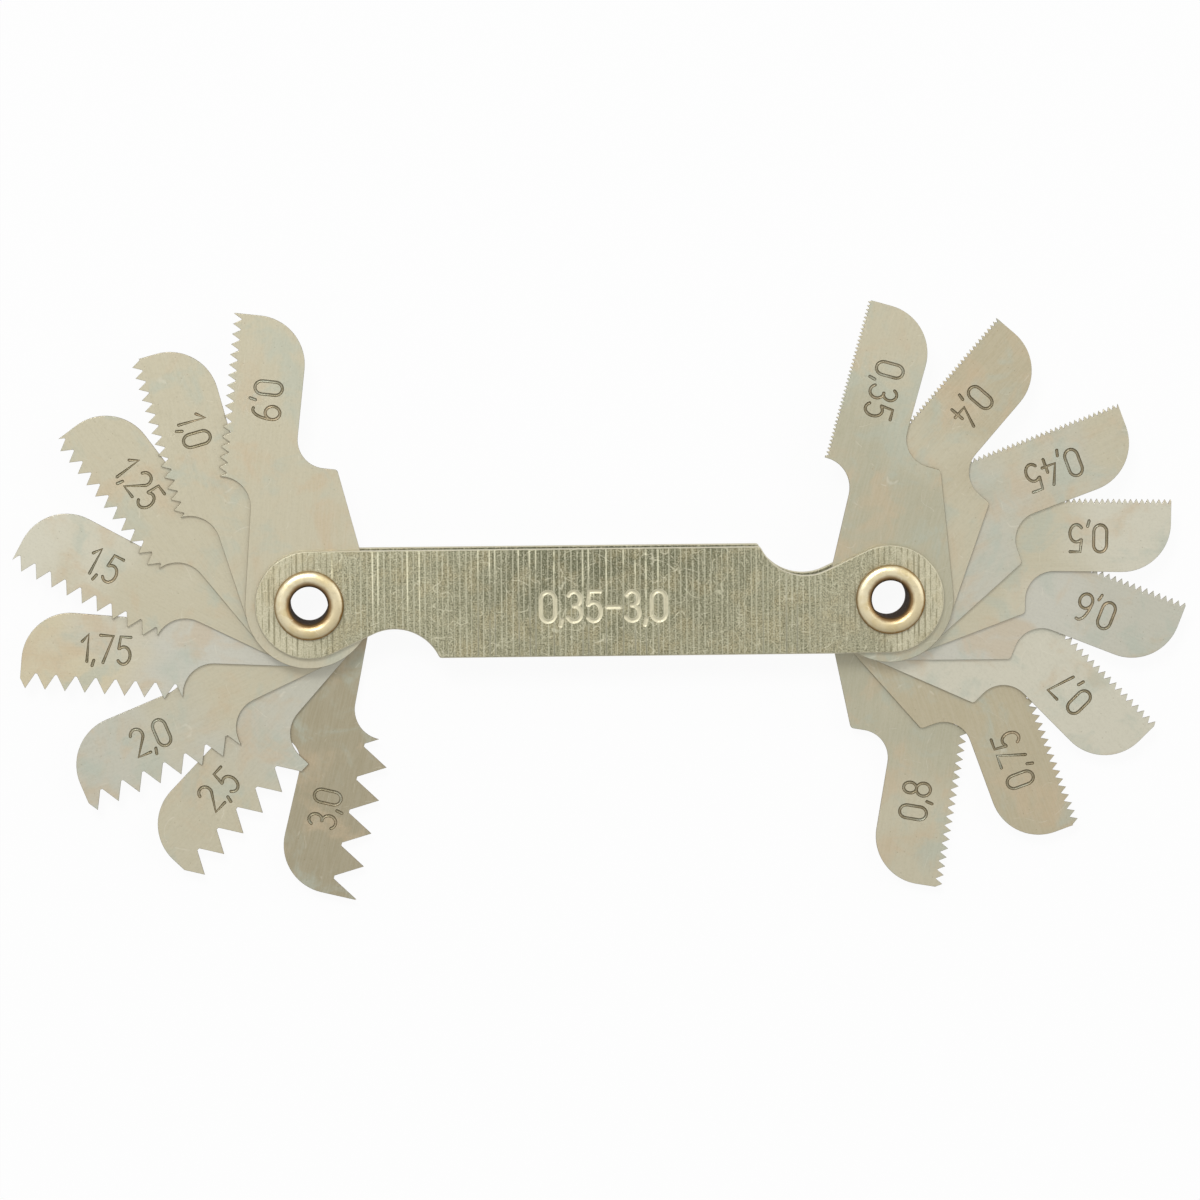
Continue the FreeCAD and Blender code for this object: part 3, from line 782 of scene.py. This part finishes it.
def blade_turn(node, pivot):
    """The way the blade points. The leaf's longest straight side is the tang's back edge, which
    leans from the blade by a set angle."""
    mesh = frame["nodes"][node].data
    longest = Vector()
    middle = Vector()
    for face in mesh.polygons:
        if abs(face.normal.z) < 0.1:
            for start, end in face.edge_keys:
                side = mesh.vertices[end].co - mesh.vertices[start].co
                if abs(side.z) < 0.01 * MM and side.length > longest.length:
                    longest = side
                    middle = (mesh.vertices[end].co + mesh.vertices[start].co) / 2
    outwards = longest if longest.dot(middle - pivot) > 0 else -longest
    return math.atan2(outwards.y, outwards.x) - BACK_EDGE_LEAN


for number, (node, (text, rivet_cast, tip_cast)) in enumerate(LEAVES.items()):
    joint = next(each for each in frame["joints"] if each["child"] == node)
    pivot = Vector(joint["pos_m"])
    turn = blade_turn(node, pivot)
    steel = leaf_steel(f"{node}_steel", rivet_cast, tip_cast, number, pivot / MM, turn)
    leaf = blank(node, LEAF_EDGE_ROUND, steps=3)
    leaf.data.materials.append(steel)
    face_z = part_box(node)[1].z / MM
    from_blade = Matrix.Translation(pivot / MM) @ Matrix.Rotation(turn, 4, "Z")
    beside_teeth = Matrix.Translation((LEAF_FIGURE_REACH, LEAF_FIGURE_ACROSS,
                                       face_z - pivot.z / MM))
    place = from_blade @ beside_teeth @ Matrix.Rotation(math.pi, 4, "Z")
    stamp(leaf, text, place, height=2.4, stroke_width=0.28, depth=0.1, steel=LEAF_FIGURE_SHADED_STEEL)
    finish_piece(leaf, f"{node}_stamped", node, node)

# ---------------------------------------------------------------------------------------------
# Rivets
# Two tubes of thin brass, rolled over on both covers by a hand press. The roll is satin from
# handling, with brown tarnish left where it meets the cover and down the bore. Painted shade
# darkens the lower side of each rivet, its tarnish there too, and the bore deep down.

RIM_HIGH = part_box("eyelet_left")[1].z / MM
COVER_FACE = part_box("front_cover")[1].z / MM
RIM_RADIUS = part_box("eyelet_left")[1].x / MM
BORE_RADIUS = frame["record"]["mounts"][0]["dims"]["r_mm"]
TUBE_WALL = 0.35
SEAT_GAP = 0.004
ROLL_STEPS = 144
DENTS_START = 0.1
DENT_DEPTH = 0.015
DENT_SCALE = 0.9


def round_stretch(centre, radius_out, radius_up, start, end, steps):
    """Points of a round stretch of the section, from one angle to the other in degrees."""
    points = []
    for number in range(steps + 1):
        turn = math.radians(start + (end - start) * number / steps)
        points.append((centre[0] + radius_out * math.cos(turn),
                       centre[1] + radius_up * math.sin(turn)))
    return points


def rivet_section():
    """Half of the tube's section, from the middle of the bore over the roll to the shank."""
    bend = 0.42
    lip = 0.36
    crown = 0.05
    tuck = 0.06
    inner = (BORE_RADIUS + bend, RIM_HIGH - crown - bend)
    outer = (RIM_RADIUS - lip, RIM_HIGH - crown - lip)
    half = (outer[0] - inner[0]) / 2
    shank = BORE_RADIUS + TUBE_WALL
    seat = COVER_FACE + SEAT_GAP
    points = [(BORE_RADIUS, 0.0), (BORE_RADIUS, 0.8 * COVER_FACE)]
    points += round_stretch(inner, bend, bend, 180, 98, steps=9)
    points += round_stretch((inner[0] + half, RIM_HIGH - crown), half, crown, 165, 15, steps=8)
    points += round_stretch(outer, lip, lip, 80, -50, steps=13)
    points += [(points[-1][0] - tuck, seat), (shank, seat), (shank, 0.0)]
    return points


def rolled_rivet(node, axis, steel):
    """The section and its mirror image spun round the axis, with faint dents in both rolls."""
    upper = rivet_section()
    lower = [(radius, -z) for radius, z in reversed(upper[:-1])][:-1]
    work = bmesh.new()
    ring = [work.verts.new((radius, 0.0, z)) for radius, z in upper + lower]
    edges = [work.edges.new((start, end)) for start, end in zip(ring, ring[1:] + ring[:1])]
    bmesh.ops.spin(work, geom=ring + edges, cent=(0, 0, 0), axis=(0, 0, 1), angle=2 * math.pi,
                   steps=ROLL_STEPS, use_merge=True)
    bmesh.ops.remove_doubles(work, verts=work.verts, dist=1e-5)
    bmesh.ops.recalc_face_normals(work, faces=work.faces)
    for vertex in work.verts:
        spot = vertex.co
        if abs(spot.z) > COVER_FACE + DENTS_START:
            where = Vector((spot.x * DENT_SCALE, spot.y * DENT_SCALE, spot.z + axis.x))
            dent = DENT_DEPTH * max(0.0, noise.noise(where))
            spot.z -= math.copysign(dent, spot.z)
    mesh = bpy.data.meshes.new(node)
    work.to_mesh(mesh)
    work.free()
    mesh.transform(Matrix.Translation((axis.x, axis.y, 0.0)))
    mesh.materials.append(steel)
    return add_piece(node, mesh)


BRASS_BRIGHT = srgb(217, 206, 174)
BRASS_MELLOW = srgb(206, 190, 148)
BRASS_SHADED = srgb(184, 164, 120)
BRASS_GRAIN = srgb(156, 134, 88)
# Tarnish on the lip, painted stronger on the lower side as shade.
BRASS_LIP_STAIN_AND_SHADE = srgb(156, 114, 54)
BRASS_THROAT_STAIN = srgb(128, 96, 54)
# Painted shade for deep in the bore.
BRASS_BORE_SHADE = srgb(70, 52, 36)
BRASS_SCRATCH = srgb(232, 222, 200)


def rivet_brass(name, axis):
    """Aged brass: pale and worn on the roll's crown, brown beside the cover and in the bore. Painted
    shade makes the lower side darker and the deep bore dark.
    """
    material, on, shader, place = new_material(name, axis)
    x, y, z = on.split(place)
    radius = on.math("SQRT", on.plus(on.times(x, x), on.times(y, y)))
    # Painted shade: the lower side of each rivet is painted darker, and the stain on the lip is painted stronger
    # there.
    low_side = on.ramp(on.minus(on.times(x, 0.16), on.times(y, 0.3)), -0.4, 0.9)
    wander = on.noise(place, 1.2, detail=3.0, roughness=0.6)
    wide = on.plus(radius, on.times(on.minus(wander, 0.5), 0.3))
    slow = on.ramp(on.noise(place, 0.5, detail=3.0, roughness=0.6), 0.4, 0.65)
    colour = on.blend(slow, BRASS_BRIGHT, BRASS_MELLOW)
    colour = on.blend(on.times(low_side, 0.5), colour, BRASS_SHADED)
    grain = on.noise(place, 4.0, detail=3.0, roughness=0.6)
    colour = on.blend(on.ramp(grain, 0.48, 0.28, end=0.2), colour, BRASS_GRAIN)
    lip = on.times(on.ramp(wide, 2.84, 3.0), on.ramp(low_side, 0.0, 1.0, start=0.6, end=0.95))
    colour = on.blend(lip, colour, BRASS_LIP_STAIN_AND_SHADE)
    throat = on.ramp(wide, 2.2, 1.86)
    colour = on.blend(on.times(throat, 0.9), colour, BRASS_THROAT_STAIN)
    # Painted shade: deep in the bore the brass is painted dark brown, rough and not metallic, so that it shows no
    # light.
    bore_shade = on.ramp(on.unsigned(z), COVER_FACE + 0.5, COVER_FACE + 0.15)
    bore_shade = on.times(bore_shade, on.math("LESS_THAN", radius, 2.0))
    colour = on.blend(on.times(bore_shade, 0.9), colour, BRASS_BORE_SHADE)
    hair = on.group(HAIRLINES, Place=place, Size=2.0, Thinness=0.01, Share=0.5,
                    Offset=axis.x)["Mask"]
    colour = on.blend(on.times(hair, 0.3), colour, BRASS_SCRATCH)
    polish = on.ramp(grain, 0.3, 0.7, start=0.3, end=0.38, smooth=False)
    on.feed(shader.inputs["Base Color"], colour)
    on.feed(shader.inputs["Roughness"], on.plus(polish, on.times(bore_shade, 0.6)))
    on.feed(shader.inputs["Metallic"], on.ramp(bore_shade, 0.0, 1.0, start=0.88, end=0.0))
    height = on.minus(grain, on.times(hair, 0.5))
    on.feed(shader.inputs["Normal"], on.bump(height, 0.3, 0.00002))
    return material


for side in ("left", "right"):
    node = f"eyelet_{side}"
    axis = sum(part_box(node), Vector()) / 2 / MM
    rivet = rolled_rivet(node, axis, rivet_brass(f"rivet_brass_{side}", axis))
    finish_piece(rivet, f"eyelet_{side}_rolled", node, "holder")

# ---------------------------------------------------------------------------------------------
# Table, light and camera
# The gauge lies on its rear rivet rims on a plain white table. A soft lamp hangs nearly over it,
# a weaker one to the right, and the white tent round them is dimmer towards the front.

MIDPOINT = Vector((MIDDLE.x * MM, 0.0, 0.0))
TABLE_REACH = 3.0
TABLE_OWN_WHITE = 0.94
TENT_FRONT = (0.35, 0.35, 0.35, 1.0)
TENT_BACK = (1.0, 1.0, 1.0, 1.0)
TENT_TOWARDS_BACK = (0.0, 0.6, 0.8)
TENT_LIGHT = 0.48
CAMERA_TILT = (4.12, 1.76, 0.51)
CAMERA_FROM_MIDPOINT = (0.00007, 0.00003, 0.6192)


def table():
    """A wide white table top. Where it is seen it mostly shows its own even white, and where it
    lights the gauge it is plain matt white."""
    mesh = bpy.data.meshes.new("table")
    corners = []
    for x, y in ((-1, -1), (1, -1), (1, 1), (-1, 1)):
        corners.append((x * TABLE_REACH, y * TABLE_REACH, cad_box[0][2]))
    mesh.from_pydata(corners, [], [(0, 1, 2, 3)])
    material, on, shader, place = new_material("table_white")
    cloth = on.blend(on.noise(place, 0.09), srgb(250, 250, 250), srgb(253, 253, 253))
    on.feed(shader.inputs["Base Color"], cloth)
    shader.inputs["Roughness"].default_value = 0.9
    shader.inputs["Specular IOR Level"].default_value = 0.1
    share = on.times(on.seen(), TABLE_OWN_WHITE)
    white = on.node("ShaderNodeEmission", {"Color": (1, 1, 1, 1), "Strength": 1.0}).outputs[0]
    both = on.node("ShaderNodeMixShader", {0: share, 1: shader.outputs[0], 2: white}).outputs[0]
    on.feed(material.node_tree.nodes["Material Output"].inputs["Surface"], both)
    mesh.materials.append(material)
    add_piece("table", mesh)


def lamp(name, place, size, power):
    """A round soft lamp at a place measured from the gauge's midpoint, aimed at the midpoint."""
    light = bpy.data.lights.new(name, "AREA")
    light.shape = "DISK"
    light.size = size
    light.energy = power
    stand = bpy.data.objects.new(name, light)
    bpy.context.scene.collection.objects.link(stand)
    stand.location = MIDPOINT + Vector(place)
    stand.rotation_euler = (MIDPOINT - stand.location).to_track_quat("-Z", "Y").to_euler()


def tent():
    """The white tent, brighter towards the back. It lights the gauge less than it shows."""
    world = bpy.data.worlds.new("studio")
    bpy.context.scene.world = world
    world.use_nodes = True
    on = Wiring(world.node_tree)
    backdrop = world.node_tree.nodes["Background"]
    away = on.node("ShaderNodeTexCoord").outputs["Generated"]
    towards_back = on.node("ShaderNodeVectorMath", {0: away, 1: TENT_TOWARDS_BACK},
                           operation="DOT_PRODUCT").outputs["Value"]
    cloth = on.blend(on.ramp(towards_back, -0.4, 0.7), TENT_FRONT, TENT_BACK)
    on.feed(backdrop.inputs["Color"], cloth)
    strength = on.ramp(on.seen(), 0.0, 1.0, start=TENT_LIGHT, smooth=False)
    on.feed(backdrop.inputs["Strength"], strength)


table()
lamp("key", place=(-0.16, 0.36, 0.8), size=0.26, power=2.6)
lamp("fill", place=(0.55, 0.2, 0.6), size=0.5, power=0.8)
tent()

camera = bpy.data.cameras.new("camera")
camera.sensor_width = 36.0
camera.lens = 211.1
camera.clip_end = 10.0
stand = bpy.data.objects.new("camera", camera)
bpy.context.scene.collection.objects.link(stand)
tilt = Matrix()
for axis_name, degrees in zip("XYZ", CAMERA_TILT):
    tilt = tilt @ Matrix.Rotation(math.radians(degrees), 4, axis_name)
stand.matrix_world = (Matrix.Translation(MIDPOINT) @ tilt.inverted()
                      @ Matrix.Translation(CAMERA_FROM_MIDPOINT))
bpy.context.scene.camera = stand

bpy.context.scene.view_settings.view_transform = "Standard"
